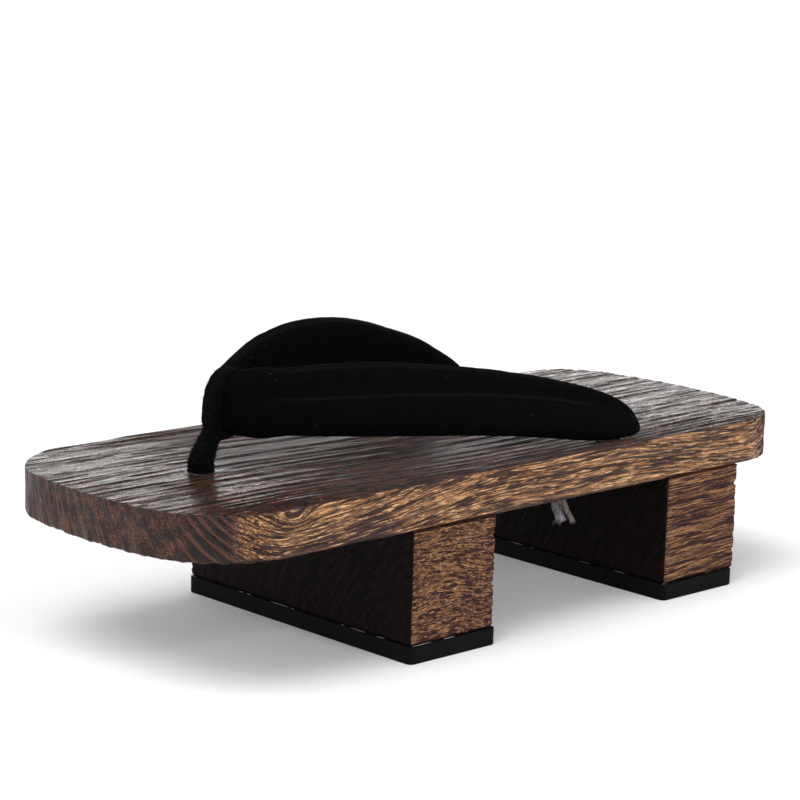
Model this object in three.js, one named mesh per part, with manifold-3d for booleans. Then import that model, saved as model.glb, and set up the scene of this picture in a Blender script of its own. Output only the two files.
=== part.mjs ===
// Geta sandal: a flat wooden board on two wooden teeth with rubber treads, held to the foot by
// two padded straps that run from holes at the sides of the heel to a thong at the toe.
//
// Millimetres. +Z is up, the toe points to -Y, the heel to +Y and the shoe's left side to +X.
// The origin is on the ground, under the middle of the board.

import * as THREE from "three";
import { mergeVertices } from "three/addons/utils/BufferGeometryUtils.js";
import Module from "manifold-3d";

const wasm = await Module();
wasm.setup();

// ---------------------------------------------------------------- driving dimensions

const GAP = 0.3; // kept between soft pieces and whatever they are pressed against

// The teeth, and how far each tread stands out past its tooth at its sides and two faces.
const TREAD = { thickness: 5.8, corner: 2, proudSide: 0.6 };
const TOOTH = { height: 37.7, halfWidth: 55, corner: 1 };
const TEETH = [
  { name: "front", toeFace: -52, heelFace: -14.5, treadToe: 0.4, treadHeel: 1 },
  { name: "rear", toeFace: 69.5, heelFace: 107, treadToe: 0.4, treadHeel: -0.8 },
];
const BOARD = {
  halfLength: 140,
  halfWidth: 55,
  thickness: 15.5,
  endBulge: 9.2, // how far each end bows out past its corners
  toeCorner: 33,
  heelCorner: 25,
};
const BOARD_BOTTOM = TREAD.thickness + TOOTH.height;
const BOARD_TOP = BOARD_BOTTOM + BOARD.thickness;

// Holes through the board for the thong and for the two strap ends. Each is sunk from below,
// so that its knot sits up inside the board.
const HOLE = { radius: 4.6, sinkRadius: 7.6, sinkDepth: 6.5 };
const TOE_HOLE = { x: 0, y: -93.5 };
const STRAP_HOLE = { x: 43, y: 50 };
const NECK_RADIUS = 4.2; // of the cord bundle inside each hole
const SINK_TOP = BOARD_BOTTOM + HOLE.sinkDepth;
const ON_BOARD = BOARD_TOP + 0.4; // height of a strap or thong where it lies on the board

// How the edges of each wooden or rubber block are eased: how far its outline is drawn in at
// each height, which is given above the block's foot or below its head.
const BOARD_EDGES = [
  { aboveFoot: 0, inset: 1 },
  { aboveFoot: 0.4, inset: 0.3 },
  { aboveFoot: 1.2, inset: 0 },
  { belowHead: 0.9, inset: 0 },
  { belowHead: 0.25, inset: 0.25 },
  { belowHead: 0, inset: 0.9 },
];
const TOOTH_EDGES = [
  { aboveFoot: 0, inset: 0.7 },
  { aboveFoot: 0.6, inset: 0.4 },
  { belowHead: 0, inset: 0 },
];
const TREAD_EDGES = [
  { aboveFoot: 0, inset: 1.1 },
  { aboveFoot: 0.8, inset: 0.2 },
  { belowHead: 1, inset: 0 },
  { belowHead: 0, inset: 0.4 },
];

// The padded straps, one row for each section from the toe to the heel. x and y are the plan
// place of the middle of the band (x is mirrored for the right strap), low and top are the
// heights of its two edges, lean is how far the top edge stands inboard of the low edge, and
// thick is the depth of the padding.
const LEFT_STRAP = [
  { x: 0, y: -84.6, low: 70, top: 88.2, lean: 0, thick: 7.8 },
  { x: 4.6, y: -81.9, low: 69.6, top: 91, lean: 0, thick: 8 },
  { x: 8.4, y: -76.6, low: 68.8, top: 91.9, lean: 2, thick: 8.6 },
  { x: 11.5, y: -69, low: 69.4, top: 91.2, lean: 4, thick: 9 },
  { x: 15, y: -58, low: 68.7, top: 91.3, lean: 6.5, thick: 9.4 },
  { x: 20.5, y: -40, low: 67.5, top: 90.7, lean: 8.5, thick: 9.6 },
  { x: 26, y: -20, low: 66.2, top: 88.5, lean: 10, thick: 9.6 },
  { x: 31.5, y: 0, low: 64.8, top: 85.6, lean: 11, thick: 9.6 },
  { x: 37, y: 20, low: 62.6, top: 81.8, lean: 11, thick: 9.6 },
  { x: 42.2, y: 38, low: 60, top: 77.2, lean: 10, thick: 9.4 },
  { x: 45, y: 50, low: ON_BOARD, top: 72.8, lean: 8, thick: 8.6 },
  { x: 46.8, y: 57, low: ON_BOARD, top: 68.4, lean: 5, thick: 6.8 },
  { x: 47.6, y: 60.5, low: 60, top: 64, lean: 2, thick: 3.6 },
];
const RIGHT_STRAP = [
  { x: 0, y: -84.6, low: 70, top: 88.2, lean: 0, thick: 7.8 },
  { x: 4.6, y: -81.6, low: 70, top: 89, lean: 0, thick: 7.8 },
  { x: 8.2, y: -76.4, low: 70.6, top: 90.4, lean: 2, thick: 8.2 },
  { x: 11.3, y: -68.6, low: 72.6, top: 93.6, lean: 4, thick: 8.8 },
  { x: 14.8, y: -58, low: 75, top: 97.2, lean: 6.5, thick: 9.4 },
  { x: 20.5, y: -40, low: 75.6, top: 98.8, lean: 8.5, thick: 9.6 },
  { x: 26, y: -20, low: 74.6, top: 97.4, lean: 10, thick: 9.6 },
  { x: 31.5, y: 0, low: 71.6, top: 93.4, lean: 11, thick: 9.6 },
  { x: 37, y: 20, low: 67, top: 87.4, lean: 11, thick: 9.6 },
  { x: 42.2, y: 38, low: 61.6, top: 81.4, lean: 10, thick: 9.4 },
  { x: 45.2, y: 50, low: ON_BOARD, top: 76.2, lean: 8, thick: 9 },
  { x: 47.4, y: 61, low: ON_BOARD, top: 71.2, lean: 5.5, thick: 7.4 },
  { x: 48.4, y: 68, low: ON_BOARD, top: 67.2, lean: 3.4, thick: 5.6 },
  { x: 49, y: 72.5, low: 60, top: 63.4, lean: 2, thick: 3.4 },
];
const STRAP_STEPS = 36; // sections along one strap
const PAD = {
  sides: 28, // corners of one section
  roundness: 0.75, // below 1 the section is boxier than an ellipse
  outerShare: 0.58, // of the depth, on the outside of the band
  seamDepth: 0.3, // of that share, where the seam pulls the padding in
  seamReach: 0.16, // of the half height of the band
  seamToe: 0.15, // place of the seam at the toe, from 0 at mid height to 1 at the top edge
  seamHeel: 0.36,
};

// The neck that carries each strap down through its hole, from inside the padding to the sunk
// part of the hole, as the distance outboard of the hole at each height.
const NECK = [
  { z: 67, out: 2, radius: 3.4 },
  { z: 62, out: 1, radius: 4.6 },
  { z: ON_BOARD, out: 0, radius: NECK_RADIUS },
  { z: SINK_TOP, out: 0, radius: NECK_RADIUS },
];

// The thong: a stem through the board and a flat loop round the place where the straps meet.
const STEM = [
  { z: SINK_TOP, y: TOE_HOLE.y, radius: NECK_RADIUS },
  { z: ON_BOARD, y: TOE_HOLE.y, radius: NECK_RADIUS },
  { z: 62, y: -93.6, radius: 4.3 },
  { z: 65.5, y: -92.3, radius: 4.1 },
  { z: 69, y: -90.2, radius: 3.7 },
  { z: 73, y: -87.8, radius: 3.2 },
];
const LOOP = {
  y: -84,
  z: 79.9,
  halfDepth: 7.2,
  halfHeight: 11.5,
  halfWidth: 3.5, // across the shoe
  eyeHalfDepth: 4.2,
  eyeHalfHeight: 8.9,
  lean: 0.15, // backwards, for each millimetre of height
  power: 2.3, // 2 would be an ellipse
  sides: 36,
};
const LOOP_EDGES = [
  { x: -1, inset: 1.3 },
  { x: -0.88, inset: 0.45 },
  { x: -0.66, inset: 0 },
  { x: 0.66, inset: 0 },
  { x: 0.88, inset: 0.45 },
  { x: 1, inset: 1.3 },
];

// The knots in the sunk holes, as a profile from the top down.
const KNOT = [
  { down: 0, radius: 4.6 },
  { down: 1, radius: 6 },
  { down: 2.6, radius: 6.7 },
  { down: 4.5, radius: 5.9 },
  { down: 6.2, radius: 6.6 },
  { down: 8, radius: 5.4 },
  { down: 9.2, radius: 3.2 },
  { down: 9.5, radius: 1.5 },
];

// The loose cord ends that come out of the two rear knots and hang under the board.
const TAILS = [
  {
    name: "tail_left_wide",
    radius: 1.9,
    route: [
      [38.4, 55.4, 41.1],
      [35.4, 57.2, 41.1],
      [31.6, 56, 41.1],
      [29, 52, 40.9],
      [28.2, 47.6, 40.2],
      [28.3, 43.8, 38.2],
      [28.8, 41.6, 34.9],
      [29.5, 41.8, 31.4],
      [30.2, 42.8, 28],
    ],
  },
  {
    name: "tail_left_thin",
    radius: 1,
    route: [
      [45.6, 43.2, 42],
      [45.3, 39.6, 42],
      [43.2, 36.8, 42],
      [40, 35.6, 41.9],
      [36.8, 36.2, 41.2],
      [34.6, 38, 38.6],
      [33.8, 40.2, 35],
      [33.5, 42.6, 31.4],
      [33.4, 45.2, 27.8],
    ],
  },
  {
    name: "tail_right_wide",
    radius: 1.9,
    route: [
      [-36, 50.2, 41.1],
      [-32, 50.4, 40.2],
      [-28.6, 50, 36.8],
      [-26.8, 49.2, 31.8],
      [-26.4, 48.2, 26.2],
      [-26.8, 47.4, 20.6],
      [-27.6, 47, 15],
    ],
  },
  {
    name: "tail_right_thin",
    radius: 1,
    route: [
      [-38.6, 55.6, 42],
      [-35.4, 58.2, 41.2],
      [-32.6, 60.2, 38],
      [-31, 61, 33],
      [-30.6, 60.8, 27.6],
      [-31, 60.2, 22.4],
      [-31.8, 59.8, 15.4],
    ],
  },
];
const TAIL_STEPS = 12;

// How finely round things are faceted: sides of a full circle, or steps of an arc.
const SIDES = { hole: 28, sink: 32, neck: 20, stem: 24, knot: 20, tail: 8 };
const STEPS = { boardCorner: 10, boardEnd: 14, barCorner: 3 };
const SHARPEST = 0.05; // radius that a corner keeps when it is drawn in
const SAME_POINT = 1e-5; // corners closer than this are one

const COLOURS = {
  wood: { color: 0x5a3a22, roughness: 0.45, metalness: 0 },
  rubber: { color: 0x141414, roughness: 0.8, metalness: 0 },
  velvet: { color: 0x0b0b0c, roughness: 0.95, metalness: 0 },
  felt: { color: 0x161617, roughness: 1, metalness: 0 },
  cotton: { color: 0xb9b6b0, roughness: 0.9, metalness: 0 },
};

// ---------------------------------------------------------------- solids

// A closed skin over rings of equal length. Each ring runs anticlockwise as seen from the
// side that the next ring lies on, so that the faces point out.
function loft(rings) {
  const sides = rings[0].length;
  const positions = [];
  for (const ring of rings) {
    for (const point of ring) {
      positions.push(point.x, point.y, point.z);
    }
  }
  const index = [];
  for (let row = 0; row < rings.length - 1; row += 1) {
    for (let side = 0; side < sides; side += 1) {
      const a = row * sides + side;
      const b = row * sides + ((side + 1) % sides);
      index.push(a, b, b + sides, a, b + sides, a + sides);
    }
  }
  addCap(rings[0], 0, true);
  addCap(rings[rings.length - 1], (rings.length - 1) * sides, false);

  function addCap(ring, start, faceBack) {
    const middle = new THREE.Vector3();
    for (const point of ring) {
      middle.addScaledVector(point, 1 / sides);
    }
    const centre = positions.length / 3;
    positions.push(middle.x, middle.y, middle.z);
    for (let side = 0; side < sides; side += 1) {
      const a = start + side;
      const b = start + ((side + 1) % sides);
      if (faceBack) {
        index.push(centre, b, a);
      } else {
        index.push(centre, a, b);
      }
    }
  }

  const geometry = new THREE.BufferGeometry();
  geometry.setAttribute("position", new THREE.Float32BufferAttribute(positions, 3));
  geometry.setIndex(index);
  return geometry;
}

function toSolid(geometry) {
  const bare = geometry.clone();
  bare.deleteAttribute("normal");
  bare.deleteAttribute("uv");
  const merged = mergeVertices(bare, SAME_POINT);
  return new wasm.Manifold(
    new wasm.Mesh({
      numProp: 3,
      vertProperties: new Float32Array(merged.attributes.position.array),
      triVerts: new Uint32Array(merged.index.array),
    }),
  );
}

function toGeometry(solid) {
  const mesh = solid.getMesh();
  const geometry = new THREE.BufferGeometry();
  geometry.setAttribute("position", new THREE.BufferAttribute(mesh.vertProperties, 3));
  geometry.setIndex(new THREE.BufferAttribute(mesh.triVerts, 1));
  return geometry;
}

function arc(x, y, radius, from, to, steps) {
  const points = [];
  for (let step = 0; step <= steps; step += 1) {
    const angle = from + ((to - from) * step) / steps;
    points.push(new THREE.Vector2(x + radius * Math.cos(angle), y + radius * Math.sin(angle)));
  }
  return points;
}

// An upright block between two heights. outlineAt(inset) gives its plan outline drawn in by
// inset, anticlockwise, and edges says where it is drawn in.
function block(outlineAt, bottom, top, edges) {
  const rings = edges.map(({ aboveFoot, belowHead, inset }) => {
    const height = belowHead === undefined ? bottom + aboveFoot : top - belowHead;
    return outlineAt(inset).map((point) => new THREE.Vector3(point.x, point.y, height));
  });
  return loft(rings);
}

function ellipseRing(centre, alongX, alongY, sides) {
  const ring = [];
  for (let side = 0; side < sides; side += 1) {
    const angle = (2 * Math.PI * side) / sides;
    const x = centre.x + alongX * Math.cos(angle);
    ring.push(new THREE.Vector3(x, centre.y + alongY * Math.sin(angle), centre.z));
  }
  return ring;
}

// ---------------------------------------------------------------- board

// The outline of one end: the +X corner, then the bow, then the -X corner, drawn for an end
// that faces +Y.
function bowedEnd(corner, inset) {
  const width = BOARD.halfWidth;
  const bow = (width * width + BOARD.endBulge * BOARD.endBulge) / (2 * BOARD.endBulge);
  const bowY = BOARD.halfLength - bow;
  const cornerX = width - corner;
  const cornerY = bowY + Math.sqrt((bow - corner) ** 2 - cornerX ** 2);
  const turn = Math.atan2(cornerY - bowY, cornerX);
  return [
    ...arc(cornerX, cornerY, corner - inset, 0, turn, STEPS.boardCorner),
    ...arc(0, bowY, bow - inset, turn, Math.PI - turn, STEPS.boardEnd).slice(1, -1),
    ...arc(-cornerX, cornerY, corner - inset, Math.PI - turn, Math.PI, STEPS.boardCorner),
  ];
}

function boardOutline(inset) {
  const heel = bowedEnd(BOARD.heelCorner, inset);
  const toe = bowedEnd(BOARD.toeCorner, inset).map((point) => point.negate());
  return [...heel, ...toe];
}

// A hole right through the board with its wider sunk part below.
function boardHole(x, y) {
  const past = 5; // how far the drill runs out of each face
  const drill = (radius, bottom, top, sides) => {
    const cylinder = new THREE.CylinderGeometry(radius, radius, top - bottom, sides);
    cylinder.rotateX(Math.PI / 2);
    cylinder.translate(x, y, (top + bottom) / 2);
    return toSolid(cylinder);
  };
  const narrow = drill(HOLE.radius, BOARD_BOTTOM - past, BOARD_TOP + past, SIDES.hole);
  return narrow.add(drill(HOLE.sinkRadius, BOARD_BOTTOM - past, SINK_TOP, SIDES.sink));
}

function board() {
  const wood = toSolid(block(boardOutline, BOARD_BOTTOM, BOARD_TOP, BOARD_EDGES));
  const holes = [
    boardHole(TOE_HOLE.x, TOE_HOLE.y),
    boardHole(STRAP_HOLE.x, STRAP_HOLE.y),
    boardHole(-STRAP_HOLE.x, STRAP_HOLE.y),
  ];
  return toGeometry(holes.reduce((solid, hole) => solid.subtract(hole), wood));
}

// ---------------------------------------------------------------- teeth and treads

// A rectangle between two places along the shoe, with rounded corners.
function barOutline(halfWidth, toeFace, heelFace, corner) {
  return (inset) => {
    const x = halfWidth - corner;
    const toe = toeFace + corner;
    const heel = heelFace - corner;
    const radius = Math.max(corner - inset, SHARPEST);
    const drawnIn = corner - inset - radius; // below 0 where the inset is past the corner
    const quarter = Math.PI / 2;
    const steps = STEPS.barCorner;
    return [
      ...arc(x + drawnIn, heel + drawnIn, radius, 0, quarter, steps),
      ...arc(-x - drawnIn, heel + drawnIn, radius, quarter, 2 * quarter, steps),
      ...arc(-x - drawnIn, toe - drawnIn, radius, 2 * quarter, 3 * quarter, steps),
      ...arc(x + drawnIn, toe - drawnIn, radius, 3 * quarter, 4 * quarter, steps),
    ];
  };
}

function tooth({ toeFace, heelFace }) {
  const outline = barOutline(TOOTH.halfWidth, toeFace, heelFace, TOOTH.corner);
  return block(outline, TREAD.thickness, BOARD_BOTTOM, TOOTH_EDGES);
}

function tread({ toeFace, heelFace, treadToe, treadHeel }) {
  const halfWidth = TOOTH.halfWidth + TREAD.proudSide;
  const outline = barOutline(halfWidth, toeFace - treadToe, heelFace + treadHeel, TREAD.corner);
  return block(outline, 0, TREAD.thickness, TREAD_EDGES);
}

// ---------------------------------------------------------------- straps

function signedPower(value, power) {
  return Math.sign(value) * Math.abs(value) ** power;
}

// One strap as a loft. side is 1 for the left strap and -1 for the right one.
function strapBand(rows, side) {
  const middles = [];
  const heights = [];
  const depths = [];
  for (const row of rows) {
    middles.push(new THREE.Vector3(side * row.x, row.y, 0));
    heights.push(new THREE.Vector3(row.low, row.top, 0));
    depths.push(new THREE.Vector3(row.lean, row.thick, 0));
  }
  const middleCurve = new THREE.CatmullRomCurve3(middles, false, "catmullrom");
  const heightCurve = new THREE.CatmullRomCurve3(heights, false, "catmullrom");
  const depthCurve = new THREE.CatmullRomCurve3(depths, false, "catmullrom");

  const rings = [];
  for (let step = 0; step <= STRAP_STEPS; step += 1) {
    const t = step / STRAP_STEPS;
    const middle = middleCurve.getPoint(t);
    const along = middleCurve.getTangent(t);
    const outward = new THREE.Vector3(side * along.y, -side * along.x, 0).normalize();
    const { x: low, y: top } = heightCurve.getPoint(t);
    const { x: lean, y: thick } = depthCurve.getPoint(t);
    const centre = new THREE.Vector3(middle.x, middle.y, (low + top) / 2);
    const rise = new THREE.Vector3(0, 0, (top - low) / 2).addScaledVector(outward, -lean / 2);
    const facing = new THREE.Vector3().crossVectors(along, rise).normalize();
    if (facing.dot(outward) < 0) {
      facing.negate();
    }
    const seamAt = THREE.MathUtils.lerp(PAD.seamToe, PAD.seamHeel, t);
    rings.push(padSection(centre, rise, facing, thick, seamAt));
  }
  if (side < 0) {
    rings.forEach((ring) => ring.reverse());
  }
  return toSolid(loft(rings));
}

// A padded section with a seam along its outer face, flat where it lies on the board. rise runs
// from the centre to the top edge, facing is the way the outer face looks, and seamAt is the
// seam's place as a share of rise.
function padSection(centre, rise, facing, thick, seamAt) {
  const ring = [];
  for (let corner = 0; corner < PAD.sides; corner += 1) {
    const angle = (2 * Math.PI * corner) / PAD.sides;
    const up = signedPower(Math.cos(angle), PAD.roundness);
    let out = signedPower(Math.sin(angle), PAD.roundness) * thick;
    if (out > 0) {
      const seam = PAD.seamDepth * Math.exp(-(((up - seamAt) / PAD.seamReach) ** 2));
      out *= PAD.outerShare * (1 - seam);
    } else {
      out *= 1 - PAD.outerShare;
    }
    const point = centre.clone().addScaledVector(rise, up).addScaledVector(facing, out);
    point.z = Math.max(point.z, BOARD_TOP + GAP);
    ring.push(point);
  }
  return ring;
}

function strapNeck(side) {
  const rings = NECK.toReversed().map(({ z, out, radius }) => {
    const centre = new THREE.Vector3(side * (STRAP_HOLE.x + out), STRAP_HOLE.y, z);
    return ellipseRing(centre, radius, radius, SIDES.neck);
  });
  return toSolid(loft(rings));
}

function upper() {
  const joined = strapBand(LEFT_STRAP, 1)
    .add(strapBand(RIGHT_STRAP, -1))
    .add(strapNeck(1))
    .add(strapNeck(-1));
  return toGeometry(joined.subtract(thongSolid(GAP)));
}

// ---------------------------------------------------------------- thong

// The loop's side view, as a ring at one place across the shoe.
function loopRing(x, halfDepth, halfHeight) {
  const ring = [];
  for (let side = 0; side < LOOP.sides; side += 1) {
    const angle = (2 * Math.PI * side) / LOOP.sides;
    const rise = halfHeight * signedPower(Math.sin(angle), 2 / LOOP.power);
    const along = halfDepth * signedPower(Math.cos(angle), 2 / LOOP.power);
    ring.push(new THREE.Vector3(x, LOOP.y + along + LOOP.lean * rise, LOOP.z + rise));
  }
  return ring;
}

// The thong with every surface moved out by grow.
function thongSolid(grow) {
  const disc = loft(
    LOOP_EDGES.map(({ x, inset }) =>
      loopRing(
        x * (LOOP.halfWidth + grow),
        LOOP.halfDepth + grow - inset,
        LOOP.halfHeight + grow - inset,
      ),
    ),
  );
  const eyeReach = 2 * LOOP.halfWidth;
  const eye = loft(
    [-eyeReach, eyeReach].map((x) =>
      loopRing(x, LOOP.eyeHalfDepth - grow, LOOP.eyeHalfHeight - grow),
    ),
  );
  const stem = loft(
    STEM.map(({ z, y, radius }) =>
      ellipseRing(new THREE.Vector3(0, y, z), radius + grow, radius + grow, SIDES.stem),
    ),
  );
  return toSolid(disc).add(toSolid(stem)).subtract(toSolid(eye));
}

// ---------------------------------------------------------------- knots and cord ends

function knot() {
  const profile = [new THREE.Vector2(0, -KNOT[KNOT.length - 1].down)];
  for (const { down, radius } of KNOT.toReversed()) {
    profile.push(new THREE.Vector2(radius, -down));
  }
  profile.push(new THREE.Vector2(0, 0));
  const bead = new THREE.LatheGeometry(profile, SIDES.knot);
  bead.rotateX(Math.PI / 2);
  return toGeometry(toSolid(bead));
}

function tail({ radius, route }) {
  const section = new THREE.Shape(arc(0, 0, radius, 0, 2 * Math.PI, SIDES.tail).slice(0, -1));
  const path = new THREE.CatmullRomCurve3(route.map((point) => new THREE.Vector3(...point)));
  return new THREE.ExtrudeGeometry(section, {
    steps: TAIL_STEPS,
    extrudePath: path,
    bevelEnabled: false,
  });
}

// ---------------------------------------------------------------- the sandal

const sandal = new THREE.Group();

function addPiece(name, geometry, colour, position = [0, 0, 0]) {
  geometry.computeVertexNormals();
  const piece = new THREE.Mesh(geometry, new THREE.MeshStandardMaterial(COLOURS[colour]));
  piece.name = name;
  piece.position.set(...position);
  sandal.add(piece);
}

addPiece("board", board(), "wood");
for (const row of TEETH) {
  addPiece(`tooth_${row.name}`, tooth(row), "wood");
  addPiece(`tread_${row.name}`, tread(row), "rubber");
}
addPiece("upper", upper(), "velvet");
addPiece("toe_thong", toGeometry(thongSolid(0)), "felt");

const knotTop = SINK_TOP - GAP;
addPiece("knot_toe", knot(), "felt", [TOE_HOLE.x, TOE_HOLE.y, knotTop]);
addPiece("knot_left", knot(), "cotton", [STRAP_HOLE.x, STRAP_HOLE.y, knotTop]);
addPiece("knot_right", knot(), "cotton", [-STRAP_HOLE.x, STRAP_HOLE.y, knotTop]);
for (const row of TAILS) {
  addPiece(row.name, tail(row), "cotton");
}

export default sandal;
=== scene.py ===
import math
import random

import bmesh
import bpy
import numpy as np
from mathutils import Matrix, Vector, noise


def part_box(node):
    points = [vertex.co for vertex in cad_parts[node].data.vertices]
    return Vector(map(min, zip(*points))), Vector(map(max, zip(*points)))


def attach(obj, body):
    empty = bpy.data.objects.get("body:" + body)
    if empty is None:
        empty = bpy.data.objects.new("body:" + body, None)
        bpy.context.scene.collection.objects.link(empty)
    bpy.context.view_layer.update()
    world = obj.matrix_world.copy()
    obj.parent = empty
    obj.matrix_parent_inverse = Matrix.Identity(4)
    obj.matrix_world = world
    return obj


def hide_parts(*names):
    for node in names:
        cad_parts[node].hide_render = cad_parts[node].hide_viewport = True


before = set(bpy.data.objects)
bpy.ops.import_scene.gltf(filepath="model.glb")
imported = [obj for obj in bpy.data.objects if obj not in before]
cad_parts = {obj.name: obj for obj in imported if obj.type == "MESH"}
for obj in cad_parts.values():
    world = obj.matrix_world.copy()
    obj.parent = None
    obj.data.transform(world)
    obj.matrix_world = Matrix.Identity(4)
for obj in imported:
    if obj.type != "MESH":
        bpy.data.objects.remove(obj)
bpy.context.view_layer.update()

MM = 0.001
scene = bpy.context.scene
rng = random.Random(7)

# ---------------------------------------------------------------- camera, floor and light

CAMERA = {
    "azimuth": 46.19,
    "elevation": 11.65,
    "roll": 1.59,
    "distance": 1.1461,
    "target": (-0.144838, 0.132152, 0.030),
    "lens": 125.48,
}


def add_camera():
    azimuth, elevation, roll = (
        math.radians(CAMERA[angle]) for angle in ("azimuth", "elevation", "roll")
    )
    back = Vector((
        math.sin(azimuth) * math.cos(elevation),
        -math.cos(azimuth) * math.cos(elevation),
        math.sin(elevation),
    ))
    level = (-back).cross(Vector((0, 0, 1))).normalized()
    upright = level.cross(-back)
    right = math.cos(roll) * level + math.sin(roll) * upright
    up = -math.sin(roll) * level + math.cos(roll) * upright
    placed = Matrix((right, up, back)).transposed().to_4x4()
    placed.translation = Vector(CAMERA["target"]) + back * CAMERA["distance"]
    data = bpy.data.cameras.new("camera")
    data.lens = CAMERA["lens"]
    data.clip_start = 0.05
    data.clip_end = 60
    camera = bpy.data.objects.new("camera", data)
    camera.matrix_world = placed
    scene.collection.objects.link(camera)
    scene.camera = camera


def add_area_light(name, place, size, power):
    data = bpy.data.lights.new(name, "AREA")
    data.shape = "RECTANGLE"
    data.size, data.size_y = size
    data.energy = power
    light = bpy.data.objects.new(name, data)
    light.location = place
    towards = Vector((0, 0, 0.04)) - Vector(place)
    light.rotation_euler = towards.to_track_quat("-Z", "Y").to_euler()
    scene.collection.objects.link(light)


def add_sun(name, to_light, power, spread):
    data = bpy.data.lights.new(name, "SUN")
    data.energy = power
    data.angle = math.radians(spread)
    light = bpy.data.objects.new(name, data)
    light.rotation_euler = Vector(to_light).to_track_quat("Z", "Y").to_euler()
    scene.collection.objects.link(light)


# How bright the studio's air is, and its walls and ceiling where a glossy surface mirrors them.
# The walls end and the ceiling begins at these heights of a mirrored ray's direction.
SKY = {"light": 0.62, "walls": 2.6, "ceiling": 0.10, "walls_end": 0.12, "ceiling_from": 0.45}
FLOOR_REACH = 20


def add_studio():
    """A studio bright enough for its floor to come out white. Its ceiling is darker than its
    walls, so that the sheen on the wood breaks up over the grain."""
    scene.view_settings.view_transform = "Standard"
    world = bpy.data.worlds.new("studio")
    world.use_nodes = True
    nodes, links = world.node_tree.nodes, world.node_tree.links
    way = nodes.new("ShaderNodeSeparateXYZ")
    links.new(nodes.new("ShaderNodeTexCoord").outputs["Generated"], way.inputs[0])
    mirrored = nodes.new("ShaderNodeMapRange")
    mirrored.interpolation_type = "SMOOTHSTEP"
    mirrored.inputs["From Min"].default_value = SKY["walls_end"]
    mirrored.inputs["From Max"].default_value = SKY["ceiling_from"]
    mirrored.inputs["To Min"].default_value = SKY["walls"]
    mirrored.inputs["To Max"].default_value = SKY["ceiling"]
    links.new(way.outputs["Z"], mirrored.inputs["Value"])
    strength = nodes.new("ShaderNodeMix")  # sockets 0, 2 and 3 are its share and two numbers
    links.new(nodes.new("ShaderNodeLightPath").outputs["Is Glossy Ray"], strength.inputs[0])
    strength.inputs[2].default_value = SKY["light"]
    links.new(mirrored.outputs["Result"], strength.inputs[3])
    sky = nodes["Background"]
    sky.inputs["Color"].default_value = (1, 1, 1, 1)
    links.new(strength.outputs[0], sky.inputs["Strength"])
    scene.world = world
    add_sun("window", to_light=(0.10, -0.55, 1), power=1.60, spread=36)
    add_sun("left_softbox", to_light=(-0.8, -0.75, 0.62), power=0.75, spread=45)
    add_area_light("side", place=(1.3, -0.1, 0.75), size=(0.5, 0.5), power=9.5)


def add_floor():
    mesh = bpy.data.meshes.new("floor")
    signs = ((-1, -1), (1, -1), (1, 1), (-1, 1))
    corners = [(x * FLOOR_REACH, y * FLOOR_REACH, 0) for x, y in signs]
    mesh.from_pydata(corners, [], [(0, 1, 2, 3)])
    floor = bpy.data.objects.new("floor", mesh)
    scene.collection.objects.link(floor)
    shader = Shader("floor_white")
    shader.finish(colour=(0.92, 0.92, 0.93, 1), roughness=0.9)
    mesh.materials.append(shader.material)


# ---------------------------------------------------------------- node materials


class Shader:
    """A node material made with short calls, each of which gives back an output socket."""

    def __init__(self, name):
        self.material = bpy.data.materials.new(name)
        self.material.use_nodes = True
        self.tree = self.material.node_tree
        self.surface = self.tree.nodes["Principled BSDF"]

    def put(self, socket, value):
        if isinstance(value, bpy.types.NodeSocket):
            self.tree.links.new(value, socket)
        else:
            socket.default_value = value

    def node(self, kind, inputs, **settings):
        node = self.tree.nodes.new("ShaderNode" + kind)
        for key, value in settings.items():
            setattr(node, key, value)
        for key, value in inputs.items():
            self.put(node.inputs[key], value)
        return node

    def attribute(self, name, output="Fac"):
        return self.node("Attribute", {}, attribute_name=name).outputs[output]

    def place(self):
        return self.node("TexCoord", {}).outputs["Object"]

    def math(self, operation, first, second=0.0, third=0.0):
        inputs = {0: first, 1: second, 2: third}
        return self.node("Math", inputs, operation=operation).outputs[0]

    def times(self, first, second):
        return self.math("MULTIPLY", first, second)

    def plus(self, base, value, factor):
        """factor times value, added to base."""
        return self.math("MULTIPLY_ADD", value, factor, base)

    def stretched(self, vector, scales):
        inputs = {0: vector, 1: scales}
        return self.node("VectorMath", inputs, operation="MULTIPLY").outputs[0]

    def noise(self, vector, scale=1.0, detail=3.0, roughness=0.55, distortion=0.0):
        inputs = {
            "Vector": vector,
            "Scale": scale,
            "Detail": detail,
            "Roughness": roughness,
            "Distortion": distortion,
        }
        return self.node("TexNoise", inputs).outputs[0]

    def span(self, value, low, high, to_low=0.0, to_high=1.0):
        """value taken smoothly from low..high to to_low..to_high."""
        inputs = {
            "Value": value,
            "From Min": low,
            "From Max": high,
            "To Min": to_low,
            "To Max": to_high,
        }
        return self.node("MapRange", inputs, interpolation_type="SMOOTHSTEP").outputs[0]

    def mix(self, share, first, second):
        """A blend of two colours, which a Mix node has as inputs 6 and 7 and output 2."""
        node = self.node("Mix", {}, data_type="RGBA")
        self.put(node.inputs[0], share)
        self.put(node.inputs[6], first)
        self.put(node.inputs[7], second)
        return node.outputs[2]

    def bump(self, height, distance, strength=1.0):
        inputs = {"Height": height, "Distance": distance, "Strength": strength}
        self.put(self.surface.inputs["Normal"], self.node("Bump", inputs).outputs[0])

    def finish(self, colour, roughness, **plain):
        self.put(self.surface.inputs["Base Color"], colour)
        self.put(self.surface.inputs["Roughness"], roughness)
        for socket, value in plain.items():
            self.surface.inputs[socket.replace("_", " ")].default_value = value
        return self.material


def rgb(red, green, blue):
    return (red, green, blue, 1)


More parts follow.
